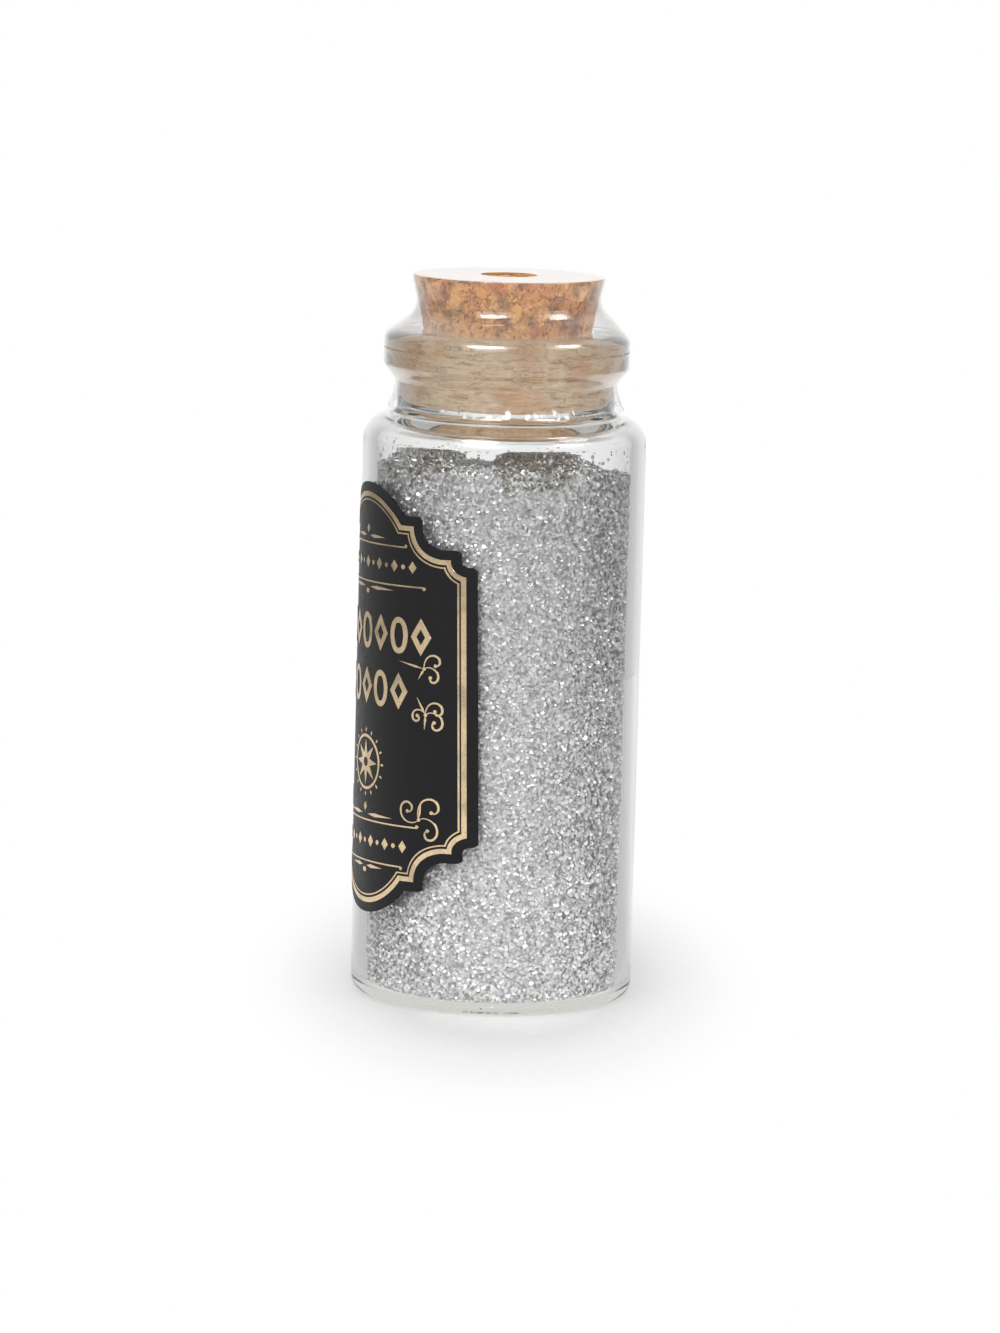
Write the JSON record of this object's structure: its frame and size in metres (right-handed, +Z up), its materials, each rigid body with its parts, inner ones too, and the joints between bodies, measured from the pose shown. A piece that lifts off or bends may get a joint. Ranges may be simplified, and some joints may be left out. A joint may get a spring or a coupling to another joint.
{
  "type": "corked glass vial",
  "caption": "Small straight-sided corked glass vial of loose glitter, with a wrapped scalloped label and a clear shrink seal over cork and lip.",
  "frame": {"origin": "middle of the foot, on the surface the vial stands on", "axes": "+Z up along the vial, the label faces -Y"},
  "size_m": [0.03, 0.0302, 0.0769],
  "materials": {
    "clear_glass": "clear, smooth, moulded",
    "silver_glitter": "loose metallised flakes",
    "black_label": "black, satin coated",
    "gold_foil": "pale gold foil print",
    "shrink_film": "clear, thin, glossy",
    "cork": "agglomerated cork, matte, pitted"
  },
  "bodies": {
    "bottle": {"glass_bottle": "clear_glass", "glitter_fill": "silver_glitter", "label_sheet": "black_label", "label_border": "gold_foil", "label_hairline": "gold_foil", "label_rules": "gold_foil", "label_scrolls": "gold_foil", "label_bands": "gold_foil", "label_star": "gold_foil", "seal_collar": "shrink_film"},
    "stopper": {"cork_stopper": "cork", "seal_cap": "shrink_film"}
  },
  "joints": [
    {"name": "cork_pull", "type": "slide", "parent": "bottle", "child": "stopper", "axis": [0, 0, 1], "range_m": [0, 0.03]}
  ]
}
